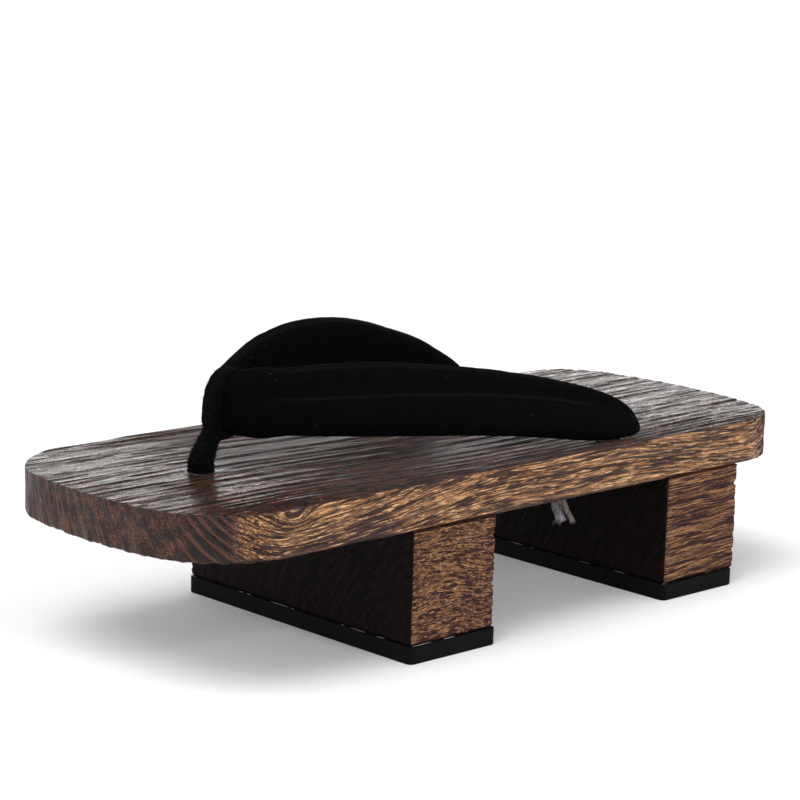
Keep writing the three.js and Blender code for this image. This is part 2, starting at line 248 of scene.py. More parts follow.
# Where the foot rests, in mm along the shoe: the lacquer is fully dull within the first distance
# of the middle and as new past the second.
WORN = {"middle": -5, "within": 50, "past": 100}
GLOSS_RANGE = 0.3  # how much rougher the lacquer is over the darkest grain
ENDS_RELIEF = 0.2  # how much of the relief is left on the ends


def wood_material(name, tone, **finish):
    """Scorched and brushed wood. The mesh carries, at each point, its place in the growth rings
    (grain: out from the pith, along the shoe and round the ring, in mm; ring: the count of
    rings) and how far it is a side, an end or a turning corner of the block (face)."""
    shader = Shader(name)
    grain = shader.attribute("grain", "Vector")
    ring = shader.attribute("ring")
    face = shader.node("SeparateXYZ", {0: shader.attribute("face", "Vector")})
    side, end, corner = face.outputs

    # Noise is drawn out along the shoe, so that it runs as streaks on the top and the sides and
    # as specks on the ends. Its scales are in waves per mm.
    def grained(across, along, around, **settings):
        scales = (across * tone["fine"], along * tone["run"], around * tone["fine"])
        return shader.noise(shader.stretched(grain, scales), **settings)

    def over(below, value, low, high, colour, most=1.0):
        """The colour laid over what is below: none where value is under low, most past high."""
        return shader.mix(shader.span(value, low, high, 0, most), below, colour)

    coarse = grained(0.24, 0.020, 0.05, detail=3, roughness=0.6, distortion=0.4)
    broad = grained(0.60, 0.034, 0.09, detail=3, roughness=0.62, distortion=0.3)
    streaks = grained(1.3, 0.034, 0.18, detail=3, roughness=0.60, distortion=0.3)
    fibres = grained(2.2, 0.07, 1.0, detail=2, roughness=0.6)
    pores = grained(2.5, 0.13, 2.2, detail=1)
    flecks = grained(1.7, 0.09, 1.2, detail=2, roughness=0.6)
    clouds = grained(0.10, 0.012, 0.05)
    patches = grained(0.15, 0.1, 0.15, detail=3, roughness=0.7)
    speckle = grained(1.2, 0.4, 1.2, detail=4, roughness=0.75)

    # The hard line of each ring, with gaps in it, and the scorched strip beside it.
    to_line = shader.math("PINGPONG", ring, 0.5)
    broken = shader.span(grained(0.5, 0.03, 0.22, detail=3), 0.42, 0.58)
    line = shader.times(shader.span(to_line, 0.010, tone["line_width"], 1, 0), broken)
    beside = shader.times(shader.span(to_line, 0.04, 0.07), shader.span(to_line, 0.10, 0.17, 1, 0))
    beside = shader.times(beside, broken)

    golden = over(tone["gold_low"], clouds, 0.40, 0.60, tone["gold_high"])
    golden = over(golden, fibres, 0.46, 0.56, tone["gold_dark"], most=0.85)
    golden = over(golden, flecks, 0.54, 0.62, tone["fleck"], most=0.8)
    dark = shader.math("ADD", shader.span(streaks, 0.50, 0.56), shader.span(broad, 0.55, 0.60))
    golden = over(golden, dark, 0, 1, tone["streak"], most=0.93)
    golden = over(golden, pores, 0.62, 0.68, tone["char"], most=0.9)

    burnt = over(tone["burnt"], broad, 0.46, 0.56, tone["burnt_dark"])
    burnt = over(burnt, streaks, 0.52, 0.56, tone["char"], most=0.85)
    burnt = shader.mix(shader.times(beside, 0.9), burnt, tone["char"])
    burnt = shader.mix(shader.times(line, 0.9), burnt, tone["ring_line"])

    cut = over(tone["cut"], speckle, 0.42, 0.56, tone["cut_dark"])
    cut = over(cut, patches, 0.45, 0.53, tone["cut_dark"], most=0.88)
    cut = over(cut, flecks, 0.60, 0.68, tone["cut_line"], most=0.5)
    cut = shader.mix(shader.times(line, 0.45), cut, tone["cut_line"])

    # Where an end turns into a side, the soft part of each ring is a dark groove.
    grooved = over(tone["ridge"], shader.plus(to_line, broad, 0.5), 0.37, 0.47, tone["char"])
    grooved = over(grooved, speckle, 0.48, 0.58, tone["burnt_dark"], most=0.45)
    grooved = over(grooved, flecks, 0.64, 0.70, tone["fleck"], most=0.15)
    cut = shader.mix(corner, cut, grooved)

    colour = shader.mix(end, burnt, cut)
    colour = shader.mix(side, colour, golden)

    along = shader.node("SeparateXYZ", {0: grain}).outputs["Y"]
    from_foot = shader.math("ABSOLUTE", shader.math("SUBTRACT", along, WORN["middle"]))
    worn = shader.span(from_foot, WORN["within"], WORN["past"], 1, 0)
    rough = shader.span(broad, 0.40, 0.58, tone["gloss"], tone["gloss"] + GLOSS_RANGE)
    rough = shader.plus(rough, worn, tone["worn"])

    # How much each of them raises the surface.
    relief = shader.times(fibres, -0.15)
    for value, height in (
        (coarse, -1.2),
        (broad, -0.9),
        (shader.span(streaks, 0.50, 0.60), -0.07),
        (beside, -0.25),
        (line, 0.15),
    ):
        relief = shader.plus(relief, value, height)
    relief = shader.times(relief, shader.span(end, 0, 1, 1, ENDS_RELIEF))
    shader.bump(relief, tone["relief"])
    return shader.finish(colour, rough, **finish)


BOARD_TONE = {
    "gold_low": rgb(0.125, 0.066, 0.030),
    "gold_high": rgb(0.235, 0.132, 0.058),
    "gold_dark": rgb(0.062, 0.032, 0.019),
    "streak": rgb(0.0150, 0.0085, 0.0100),
    "fleck": rgb(0.42, 0.265, 0.125),
    "burnt": rgb(0.066, 0.024, 0.014),
    "burnt_dark": rgb(0.0200, 0.0078, 0.0056),
    "char": rgb(0.0050, 0.0028, 0.0026),
    "ring_line": rgb(0.170, 0.058, 0.024),
    "cut": rgb(0.050, 0.021, 0.012),
    "cut_dark": rgb(0.0090, 0.0050, 0.0050),
    "cut_line": rgb(0.17, 0.068, 0.026),
    "ridge": rgb(0.115, 0.045, 0.020),
    "line_width": 0.05,
    "run": 3.0,  # how much the streaks are shortened
    "fine": 1.0,  # how much closer together they are
    "gloss": 0.10,
    "worn": 0.50,  # how much duller the lacquer is where the foot rests
    "relief": 0.0024,
}
SIDE_TONE = {
    **BOARD_TONE,
    "gold_low": rgb(0.175, 0.078, 0.034),
    "gold_high": rgb(0.390, 0.184, 0.074),
    "gold_dark": rgb(0.066, 0.027, 0.015),
    "streak": rgb(0.0170, 0.0070, 0.0085),
    "fleck": rgb(0.74, 0.44, 0.21),
    "cut": rgb(0.098, 0.038, 0.023),
    "cut_dark": rgb(0.0085, 0.0045, 0.0045),
    "cut_line": rgb(0.20, 0.080, 0.032),
    "ridge": rgb(0.070, 0.025, 0.013),
    "run": 1.5,
    "fine": 1.7,
    "gloss": 0.35,
    "worn": 0,
    "relief": 0.0011,
}
TEETH_TONE = {
    **SIDE_TONE,
    "gold_low": rgb(0.135, 0.063, 0.036),
    "gold_high": rgb(0.235, 0.116, 0.062),
    "gold_dark": rgb(0.066, 0.031, 0.019),
    "streak": rgb(0.024, 0.012, 0.015),
    "fleck": rgb(0.42, 0.230, 0.100),
    "cut": rgb(0.0120, 0.0062, 0.0055),
    "cut_dark": rgb(0.0038, 0.0026, 0.0028),
    "cut_line": rgb(0.0160, 0.0075, 0.0056),
    "fine": 2.1,
    "relief": 0.0005,
}


def rubber_material():
    shader = Shader("rubber")
    place = shader.place()
    speckle = shader.noise(place, scale=1400, detail=2)
    dust = shader.span(shader.noise(place, scale=90, detail=3), 0.55, 0.8, 0, 0.35)
    colour = shader.mix(dust, rgb(0.0026, 0.0026, 0.0029), rgb(0.010, 0.0098, 0.0098))
    shader.bump(speckle, 0.0003, 0.5)
    return shader.finish(colour, 0.72, Specular_IOR_Level=0.06)


def velvet_material():
    shader = Shader("velvet")
    place = shader.place()
    nap = shader.noise(place, scale=160, detail=4)
    pile = shader.noise(place, scale=2600, detail=1)
    colour = shader.mix(nap, rgb(0.0009, 0.0009, 0.0011), rgb(0.0024, 0.0023, 0.0026))
    lint = shader.node("TexVoronoi", {"Vector": place, "Scale": 260.0})
    speck = shader.span(lint.outputs["Distance"], 0.05, 0.12, 1, 0)
    rare = shader.span(shader.noise(place, scale=75, detail=1), 0.56, 0.64)
    lint_share = shader.times(shader.times(speck, rare), 0.5)
    colour = shader.mix(lint_share, colour, rgb(0.035, 0.032, 0.032))
    # Along the seams the velvet is painted lighter: partly thread and lint, partly a painted
    # highlight where the seam's edge catches the light.
    stitch_and_highlight = shader.times(shader.attribute("seam"), shader.span(pile, 0.46, 0.56, 0.1, 1))
    colour = shader.mix(stitch_and_highlight, colour, rgb(0.0150, 0.0142, 0.0150))
    shader.bump(pile, 0.0006, 0.6)
    return shader.finish(
        colour, 0.95, Specular_IOR_Level=0.02, Sheen_Weight=0.004, Sheen_Roughness=0.4
    )


def felt_material():
    shader = Shader("felt")
    place = shader.place()
    tufts = shader.noise(place, scale=900, detail=4, roughness=0.7)
    colour = shader.mix(
        shader.span(tufts, 0.35, 0.7), rgb(0.0006, 0.0006, 0.0008), rgb(0.0036, 0.0035, 0.0038)
    )
    shader.bump(tufts, 0.0008, 0.9)
    return shader.finish(colour, 0.95, Specular_IOR_Level=0.02, Sheen_Weight=0.012)


def cotton_material(name, pale, dark):
    shader = Shader(name)
    place = shader.place()
    threads = shader.noise(shader.stretched(place, (1, 1, 0.25)), scale=1800, detail=3)
    colour = shader.mix(shader.span(threads, 0.3, 0.7), dark, pale)
    shader.bump(threads, 0.0004, 0.8)
    return shader.finish(colour, 0.9, Specular_IOR_Level=0.2)


def glue_material():
    shader = Shader("glue")
    blotches = shader.noise(shader.place(), scale=700, detail=2)
    colour = shader.mix(blotches, rgb(0.20, 0.19, 0.18), rgb(0.42, 0.41, 0.39))
    return shader.finish(colour, 0.55)


# ---------------------------------------------------------------- mesh helpers


def add_piece(name, points, faces, material):
    mesh = bpy.data.meshes.new(name)
    mesh.from_pydata([tuple(point) for point in points], [], [tuple(face) for face in faces])
    mesh.validate()
    mesh.materials.append(material)
    piece = bpy.data.objects.new(name, mesh)
    scene.collection.objects.link(piece)
    mesh.shade_smooth()
    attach(piece, "root")
    return piece


def apply_modifiers(piece):
    """Puts the result of the piece's modifiers in place of its mesh."""
    graph = bpy.context.evaluated_depsgraph_get()
    mesh = bpy.data.meshes.new_from_object(piece.evaluated_get(graph))
    piece.modifiers.clear()
    old = piece.data
    piece.data = mesh
    bpy.data.meshes.remove(old)


def coordinates(mesh):
    flat = np.empty(len(mesh.vertices) * 3)
    mesh.vertices.foreach_get("co", flat)
    return flat.reshape(-1, 3)


def normals(mesh):
    flat = np.empty(len(mesh.vertices) * 3)
    mesh.vertex_normals.foreach_get("vector", flat)
    return flat.reshape(-1, 3)


def set_coordinates(mesh, points):
    mesh.vertices.foreach_set("co", np.ascontiguousarray(points).ravel())
    mesh.update()


def set_values(mesh, name, values):
    values = np.asarray(values, dtype=float)
    kind, key = ("FLOAT", "value") if values.ndim == 1 else ("FLOAT_VECTOR", "vector")
    layer = mesh.attributes.new(name, kind, "POINT")
    layer.data.foreach_set(key, np.ascontiguousarray(values).ravel())


def noise_at(points, wavelength, seed=0.0):
    """Smooth noise from about -1 to 1 at each point; wavelength is one size or one an axis."""
    scaled = points / np.asarray(wavelength) + seed
    return np.array([noise.noise(Vector(point)) for point in scaled])


def smooth_step(value, low, high):
    t = np.clip((value - low) / (high - low), 0, 1)
    return t * t * (3 - 2 * t)


def arc(x, y, radius, start, end, steps):
    angles = np.linspace(start, end, steps + 1)
    return [(x + radius * math.cos(a), y + radius * math.sin(a)) for a in angles]


def join_rings(rings):
    """Points and faces of a skin over rings of equal length, with a fan on each end."""
    points = [point for ring in rings for point in ring]
    sides = len(rings[0])
    faces = []
    for row in range(len(rings) - 1):
        for k in range(sides):
            a = row * sides + k
            b = row * sides + (k + 1) % sides
            faces.append((a, b, b + sides, a + sides))
    for start, ring, flip in ((0, rings[0], True), (len(points) - sides, rings[-1], False)):
        centre = len(points)
        points.append(np.mean(ring, axis=0))
        for k in range(sides):
            a, b = start + k, start + (k + 1) % sides
            faces.append((centre, b, a) if flip else (centre, a, b))
    return points, faces


def merged(skins):
    """Several skins, each as its points and faces, as one."""
    points, faces = [], []
    for more_points, more_faces in skins:
        start = len(points)
        points += more_points
        faces += [tuple(start + k for k in face) for face in more_faces]
    return points, faces


def spline(points, steps):
    """A smooth line through the points, as steps + 1 places at even parameters."""
    points = np.array(points, dtype=float)
    padded = np.vstack([2 * points[0] - points[1], points, 2 * points[-1] - points[-2]])
    line = []
    for t in np.linspace(0, len(points) - 1, steps + 1):
        k = min(int(t), len(points) - 2)
        u = t - k
        a, b, c, d = padded[k : k + 4]
        line.append(
            0.5 * (2 * b + (c - a) * u + (2 * a - 5 * b + 4 * c - d) * u**2
                   + (3 * b - a - 3 * c + d) * u**3)
        )
    return np.array(line)


ASKEW = (0.31, 0.17, 0.93)  # a direction that no line here starts in


def tube_rings(line, radius_at, sides):
    """Rings round a line. radius_at(share along, angle) gives the radius."""
    tangents = np.gradient(line, axis=0)
    tangents /= np.linalg.norm(tangents, axis=1)[:, None]
    across = np.cross(tangents[0], ASKEW)
    rings = []
    for k, (centre, tangent) in enumerate(zip(line, tangents)):
        across = across - tangent * across.dot(tangent)
        across /= np.linalg.norm(across)
        over = np.cross(tangent, across)
        share = k / (len(line) - 1)
        ring = []
        for side in range(sides):
            angle = 2 * math.pi * side / sides
            radius = radius_at(share, angle)
            ring.append(centre + radius * (math.cos(angle) * across + math.sin(angle) * over))
        rings.append(ring)
    return rings


def scatter(spread):
    """A small random offset."""
    return np.array([rng.gauss(0, spread) for _ in range(3)])


def fibre_piece(name, strands, radius, material):
    """Many fine hairs as one mesh. Each strand is a short line that tapers to its tip."""

    def taper(share, angle):
        return radius * (1 - 0.8 * share)

    points, faces = merged(
        join_rings(tube_rings(np.array(strand), taper, sides=3)) for strand in strands
    )
    return add_piece(name, points, faces, material)


# ---------------------------------------------------------------- wood

BOARD = {"half_length": 140, "half_width": 55, "bulge": 9.2, "toe": 33, "heel": 25}
BOARD_LOW, BOARD_HIGH = (corner.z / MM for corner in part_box("board"))
HOLES = ((0, -93.5), (43, 50), (-43, 50))
HOLE_RADIUS, SINK_RADIUS, SINK_DEPTH = 4.6, 7.6, 6.5
TOP_EASE, FOOT_EASE = 0.6, 1.0  # how far the board's edges are drawn in

# How far apart the points of the board and the teeth are: across, round a corner and down.
MIDDLE_STEP, CORNER_STEP, DOWN_STEP = 0.55, 0.7, 0.7
CORNER_TURN = 1.42  # how far round its corners the board's columns are close, in radians
BOARD_ROWS = 96

PITH = (129, 112)  # where the middle of the tree ran, as x and z
# The rings, in mm out from the pith: even as far as even_to, and wider and wider past it, where
# the width of a ring is growth times its distance from start.
RINGS = {"even_to": 93.4, "start": 86.4, "growth": 0.15}
ROUND_RADIUS = 100  # turns an angle round the pith into mm
BRANCH_KNOT = {"middle": (55, -102, 56), "reach": (6, 7, 4), "push": 2.6}

# How deep the wood is brushed, in mm: on its flats, how much more in the corners where an end
# turns into a side and less on the ends, and in streaks. grooved is 1 for corners with grooves.
BOARD_BRUSHING = {"flat": 0.28, "corner": 0.45, "end": 0.14, "streak": 0.26, "grooved": 1}
TOOTH_BRUSHING = {"flat": 0.10, "corner": 0, "end": 0.05, "streak": 0.14, "grooved": 0}
# How much a surface has to face along x to be a side or a corner, and along y to be an end: not
# one below the first number, and wholly one above the second.
SIDE_FROM, END_FROM, CORNER_FROM = (0.84, 0.93), (0.25, 0.5), (0.48, 0.62)
CORNER_ENDWAYS = 0.2  # a corner faces the toe or the heel by more than this
TOP_FROM = 0.7  # the board's top faces up by more than this
STREAK_SHAPE = (1, 24, 5)  # how drawn out streaks are: out from the pith, along and round it


def board_end(x, corner):
    """Where a bowed end lies at x, for an end that faces +Y, with its outward direction."""
    width, bulge = BOARD["half_width"], BOARD["bulge"]
    bow = (width**2 + bulge**2) / (2 * bulge)
    bow_y = BOARD["half_length"] - bow
    corner_x = width - corner
    corner_y = bow_y + math.sqrt((bow - corner) ** 2 - corner_x**2)
    turn_x = bow * corner_x / (bow - corner)
    if abs(x) <= turn_x:
        centre, radius = (0, bow_y), bow
    else:
        centre, radius = (math.copysign(corner_x, x), corner_y), corner
    y = centre[1] + math.sqrt(max(radius**2 - (x - centre[0]) ** 2, 0))
    return np.array((x, y)), np.array((x - centre[0], y - centre[1])) / radius


def board_columns():
    """Places across the board, closest where its corners turn away."""
    width, corner = BOARD["half_width"], BOARD["toe"]
    turns = np.arange(0, CORNER_TURN, CORNER_STEP / corner)
    rounded = width - corner * (1 - np.cos(turns))
    middle = np.linspace(-rounded[-1], rounded[-1], int(2 * rounded[-1] / MIDDLE_STEP))
    return np.concatenate([-rounded, middle[1:-1], rounded[::-1]])


def quarter_round(ease, count):
    """Points of a rounded edge: how far from the face and how far drawn in each lies."""
    turns = np.linspace(0, math.pi / 2, count)
    return [(ease * (1 - math.cos(t)), ease * (1 - math.sin(t))) for t in turns]


def board_levels():
    """Heights down the board's edge, with how far the outline is drawn in at each."""
    eased = [(BOARD_HIGH - down, inset) for down, inset in quarter_round(TOP_EASE, 6)]
    first, last = BOARD_HIGH - TOP_EASE - DOWN_STEP, BOARD_LOW + FOOT_EASE
    middle = [(z, 0) for z in np.arange(first, last + 0.2, -DOWN_STEP)]
    foot = [(last, 0), (BOARD_LOW + 0.4, 0.3), (BOARD_LOW, FOOT_EASE)]
    return eased + middle + foot


def rim_of(across, along):
    """The outermost points of a grid of along rows with across points each, once round."""
    rim = [row * across + across - 1 for row in range(along)]
    rim += [(along - 1) * across + col for col in range(across - 2, -1, -1)]
    rim += [row * across for row in range(along - 2, -1, -1)]
    return rim + list(range(1, across - 1))


def board_shape():
    columns = board_columns()
    rows = np.linspace(0, 1, BOARD_ROWS)
    toe = [board_end(x, BOARD["toe"]) for x in columns]
    heel = [board_end(x, BOARD["heel"]) for x in columns]
    flip = np.array((1, -1))
    toe = [(place * flip, way * flip) for place, way in toe]

    def grid(inset, z):
        sheet = []
        for share in rows:
            for (toe_at, toe_way), (heel_at, heel_way) in zip(toe, heel):
                start, stop = toe_at - inset * toe_way, heel_at - inset * heel_way
                sheet.append((*(start + (stop - start) * share), z))
        return sheet

    across, along = len(columns), len(rows)
    rim = rim_of(across, along)
    top = grid(TOP_EASE, BOARD_HIGH)
    bottom = grid(FOOT_EASE, BOARD_LOW)
    outline = grid(0, 0)

    points = top + bottom
    below = len(top)
    loops = [rim]
    for z, inset in board_levels()[1:-1]:
        ring = []
        for k in rim:
            full = np.array(outline[k][:2])
            inward = (np.array(top[k][:2]) - full) / TOP_EASE
            ring.append(len(points))
            points.append((*(full + inward * inset), z))
        loops.append(ring)
    loops.append([below + k for k in rim])
    faces = []
    for upper, lower in zip(loops, loops[1:]):
        for k in range(len(rim)):
            after = (k + 1) % len(rim)
            faces.append((lower[k], lower[after], upper[after], upper[k]))
    for row in range(along - 1):
        for col in range(across - 1):
            a = row * across + col
            b, c, d = a + 1, a + across + 1, a + across
            faces.append((a, b, c, d))
            faces.append((below + d, below + c, below + b, below + a))
    return np.array(points) * MM, faces


def drill_holes(piece):
    """Cuts the three holes, each with its wider sunk part below."""
    drill = bmesh.new()
    past, into = 3, 1  # how far the drill runs out of each face, and from one part into the other
    for x, y in HOLES:
        for radius, low, high in (
            (HOLE_RADIUS, BOARD_LOW + SINK_DEPTH - into, BOARD_HIGH + past),
            (SINK_RADIUS, BOARD_LOW - past, BOARD_LOW + SINK_DEPTH),
        ):
            middle = Matrix.Translation(Vector((x, y, (low + high) / 2)) * MM)
            bmesh.ops.create_cone(
                drill, cap_ends=True, segments=48, radius1=radius * MM, radius2=radius * MM,
                depth=(high - low) * MM, matrix=middle,
            )
            mesh = bpy.data.meshes.new("drill")
            drill.to_mesh(mesh)
            drill.clear()
            cutter = bpy.data.objects.new("drill", mesh)
            scene.collection.objects.link(cutter)
            cut = piece.modifiers.new("hole", "BOOLEAN")
            cut.operation, cut.object, cut.solver = "DIFFERENCE", cutter, "EXACT"
            apply_modifiers(piece)
            bpy.data.objects.remove(cutter)
    drill.free()


def away_from_holes(places):
    """0 in the holes and at their rims, 1 from 1.5 mm away."""
    distance = np.min([np.hypot(places[:, 0] - x, places[:, 1] - y) for x, y in HOLES], axis=0)
    inner = np.where(places[:, 2] > BOARD_LOW + SINK_DEPTH - 0.01, HOLE_RADIUS, SINK_RADIUS)
    return smooth_step(distance, inner + 0.1, inner + 1.5)


def ring_count(out):
    """The count of rings at each distance out from the pith, from 0 where they begin to widen."""
    even_to, start, growth = RINGS["even_to"], RINGS["start"], RINGS["growth"]
    even = (out - even_to) / (growth * (even_to - start))
    wide = np.log(np.maximum(out - start, 1) / (even_to - start)) / growth
    return np.where(out < even_to, even, wide)


def about_pith(places, pith):
    """How far out from the pith each place is, and how far round it."""
    across, up = places[:, 0] - pith[0], places[:, 2] - pith[1]
    return np.hypot(across, up), ROUND_RADIUS * np.arctan2(across, up)


def board_grain(places):
    """Places out from the pith and round it, bent by the trunk's swell, by waves and by a knot."""
    out, around = about_pith(places, PITH)
    y = places[:, 1]
    out = out + 6 * smooth_step(y, -105, -8) - 3 * smooth_step(y, 45, 112)
    out = out + 1.2 * noise_at(places, (60, 80, 60)) + 0.35 * noise_at(places, (14, 30, 14), 3)
    knot = np.linalg.norm((places - BRANCH_KNOT["middle"]) / BRANCH_KNOT["reach"], axis=1)
    return out - BRANCH_KNOT["push"] * np.exp(-(knot**2)), around


def carve_wood(piece, out, around, depth, weight):
    """Notes each point's place in the wood, then brushes the soft part of each ring away."""
    mesh = piece.data
    places = coordinates(mesh) / MM
    ways = normals(mesh)
    ring = ring_count(out)
    grain = np.stack([out, places[:, 1], around], axis=1)
    set_values(mesh, "ring", ring)
    set_values(mesh, "grain", grain)
    sideways, endways = np.abs(ways[:, 0]), np.abs(ways[:, 1])
    side = smooth_step(sideways, *SIDE_FROM)
    end = smooth_step(endways, *END_FROM) * (1 - side)
    corner = smooth_step(sideways, *CORNER_FROM) * (endways > CORNER_ENDWAYS)
    # On the -X side the rings are too wide to show as grooves.
    turning = corner * (places[:, 0] > 0) * depth["grooved"]
    set_values(mesh, "face", np.stack([side, end, turning], axis=1))
    to_line = np.abs(ring - np.round(ring))
    soft = smooth_step(to_line, 0.06, 0.30)
    hollow = soft * (depth["flat"] + depth["corner"] * turning - depth["end"] * end)
    streak = noise_at(grain / STREAK_SHAPE, 1.3, 5)
    hollow = hollow + depth["streak"] * smooth_step(streak, 0.0, 0.5)
    places = places - ways * (np.maximum(hollow, 0) * weight)[:, None]
    set_coordinates(mesh, places * MM)


def add_board(edge_material, top_material):
    points, faces = board_shape()
    piece = add_piece("board_wood", points, faces, edge_material)
    drill_holes(piece)
    places = coordinates(piece.data) / MM
    out, around = board_grain(places)
    tops = [face.index for face in piece.data.polygons if face.normal.z > TOP_FROM]
    carve_wood(piece, out, around, BOARD_BRUSHING, away_from_holes(places))
    piece.data.materials.append(top_material)
    for index in tops:
        piece.data.polygons[index].material_index = 1
    piece.data.shade_smooth()
    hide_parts("board")


# Each tooth's wood: where the middle of its tree ran, as x and z, how its rings lean along the
# shoe and how they wave, and how much its streaks are shortened.
TEETH = {
    "front": {"pith": (120, -52), "tilt": 0.03, "swirl": 2.0, "run": 6.0, "seed": 11},
    "rear": {"pith": (135, -60), "tilt": -0.03, "swirl": 0.6, "run": 1.6, "seed": 23},
}
TOOTH_CORNER = 1.0
TOOTH_FOOT = ((0, 0.7), (0.3, 0.5), (0.6, 0.25))  # how far up and in its lower edge lies
TOOTH_STEP = 0.75
CHIP = {"reach": 1.1, "depth": 0.9}  # how wide and deep splinters are missing from the edges


def bar_outline(half_width, toe_face, heel_face, corner, inset, step):
    """A rectangle with rounded corners, anticlockwise from its corner at +X and the heel."""
    x, toe, heel = half_width - corner, toe_face + corner, heel_face - corner
    quarter, steps = math.pi / 2, 4
    turns = (
        arc(x, heel, corner, 0, quarter, steps),
        arc(-x, heel, corner, quarter, 2 * quarter, steps),
        arc(-x, toe, corner, 2 * quarter, 3 * quarter, steps),
        arc(x, toe, corner, 3 * quarter, 4 * quarter, steps),
    )
    outline = []
    for turn, after in zip(turns, turns[1:] + turns[:1]):
        outline += turn
        start, stop = np.array(turn[-1]), np.array(after[0])
        count = max(int(np.linalg.norm(stop - start) / step), 1)
        outline += [tuple(start + (stop - start) * k / count) for k in range(1, count)]
    outline = np.array(outline)
    middle = np.array((0, (toe_face + heel_face) / 2))
    reach = np.array((half_width, (heel_face - toe_face) / 2))
    return middle + (outline - middle) * (reach - inset) / reach


def bar_rings(shape, levels, step):
    """A bar's outline at each height, drawn in as far as that level says."""
    rings = []
    for z, inset in levels:
        outline = bar_outline(*shape, inset, step)
        rings.append([np.array((x, y, z)) * MM for x, y in outline])
    return rings


def add_tooth(name, material):
    low, high = (np.array(corner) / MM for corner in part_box(f"tooth_{name}"))
    shape = (high[0], low[1], high[1], TOOTH_CORNER)
    levels = [(low[2] + up, inset) for up, inset in TOOTH_FOOT]
    levels += [(z, 0) for z in np.arange(low[2] + 1.2, high[2] - 0.3, DOWN_STEP)]
    levels += [(high[2], 0)]
    points, faces = join_rings(bar_rings(shape, levels, TOOTH_STEP))
    piece = add_piece(f"tooth_{name}_wood", points, faces, material)

    row = TEETH[name]
    places = coordinates(piece.data) / MM
    out, around = about_pith(places, row["pith"])
    out = out + row["tilt"] * (places[:, 1] - low[1])
    out = out + row["swirl"] * noise_at(places, (24, 20, 16), row["seed"])
    out = out + 0.4 * noise_at(places, (6, 12, 6), row["seed"] + 3)
    held = smooth_step(high[2] - places[:, 2], 0.0, 0.8)
    carve_wood(piece, out, around, TOOTH_BRUSHING, held)
    chip_edges(piece, low, high, row["seed"])
    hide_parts(f"tooth_{name}")


def chip_edges(piece, low, high, seed):
    """Small splinters broken out of the tooth's upright edges."""
    mesh = piece.data
    places = coordinates(mesh) / MM
    middle = (low + high) / 2
    from_side = high[0] - np.abs(places[:, 0])
    from_face = (high[1] - low[1]) / 2 - np.abs(places[:, 1] - middle[1])
    near = np.exp(-((from_side / CHIP["reach"]) ** 2) - (from_face / CHIP["reach"]) ** 2)
    rough = noise_at(places, (3, 3, 1.1), seed) + 0.6 * noise_at(places, (2, 2, 0.5), seed + 1)
    deep = near * smooth_step(rough, 0.05, 0.6) * CHIP["depth"]
    held = smooth_step(high[2] - places[:, 2], 0.2, 1.5)
    inward = np.zeros_like(places)
    inward[:, 0] = -np.sign(places[:, 0])
    inward[:, 1] = -np.sign(places[:, 1] - middle[1])
    set_coordinates(mesh, (places + inward * (deep * held)[:, None]) * MM)


# ---------------------------------------------------------------- treads and glue

# A tread: how round its corners and its lower edge are, how much less its upper edge is, and how
# far apart its points are, along its outline and up.
TREAD = {"corner": 2.0, "ease": 0.4, "upper": 0.4, "step": 1.2, "up_step": 0.8}
# The glue: how far inside the tooth's outline it lies and how far above the tread, how far apart
# its points are, how much of it there has to be to show, and how few points still make a bead.
GLUE = {"inset": 0.25, "up": 0.1, "step": 0.6, "shows": 0.12, "fewest": 4}


def add_tread(name, material):
    low, high = (np.array(corner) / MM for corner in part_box(f"tread_{name}"))
    shape = (high[0], low[1], high[1], TREAD["corner"])
    eased, upper = quarter_round(TREAD["ease"], 4), TREAD["upper"]
    levels = [(low[2] + up, inset) for up, inset in eased]
    levels += [(z, 0) for z in np.arange(low[2] + 1.5, high[2] - 0.7, TREAD["up_step"])]
    levels += [(high[2] - down * upper, inset * upper) for down, inset in reversed(eased)]
    points, faces = join_rings(bar_rings(shape, levels, TREAD["step"]))
    piece = add_piece(f"tread_{name}_rubber", points, faces, material)
    mesh = piece.data
    places = coordinates(mesh) / MM
    ways = normals(mesh) * (1, 1, 0)
    waves = 0.5 + 0.5 * noise_at(places, (14, 9, 5), 2)
    places = places - ways * (0.15 * waves + 0.05 * (1 + noise_at(places, 2.2, 8)))[:, None]
    set_coordinates(mesh, places * MM)
    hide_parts(f"tread_{name}")


def stretches(shown, fewest):
    """The runs of neighbours that are all shown, each as a list of their places."""
    found, run = [], []
    for k, here in enumerate([*shown, False]):
        if here:
            run.append(k)
            continue
        if len(run) >= fewest:
            found.append(run)
        run = []
    return found


def bead(line, amount):
    """A skin round a bead of glue, thickest in its middle."""
    size = (0.04 + 0.15 * min(1.0, amount)) * MM

    def swell(share, angle):
        return size * (0.15 + math.sin(math.pi * share) ** 0.5)

    return join_rings(tube_rings(line * MM, swell, sides=6))


def add_glue(name, material):
    """The line of dried glue that shows here and there between a tooth and its tread."""
    low, high = (np.array(corner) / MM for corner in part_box(f"tooth_{name}"))
    outline = bar_outline(high[0], low[1], high[1], TOOTH_CORNER, GLUE["inset"], GLUE["step"])
    line = np.array([(x, y, low[2] + GLUE["up"]) for x, y in outline])
    amount = 0.7 * noise_at(line, (9, 9, 9), 31) + 0.9 * noise_at(line, (1.6, 1.6, 1.6), 4)
    amount += 0.6 * smooth_step(-line[:, 0], 44, 54) * (line[:, 1] < (low[1] + high[1]) / 2)
    points, faces = merged(
        bead(line[run], float(np.mean(amount[run])))
        for run in stretches(amount > GLUE["shows"], GLUE["fewest"])
    )
    add_piece(f"glue_{name}", points, faces, material)


# ---------------------------------------------------------------- straps and thong


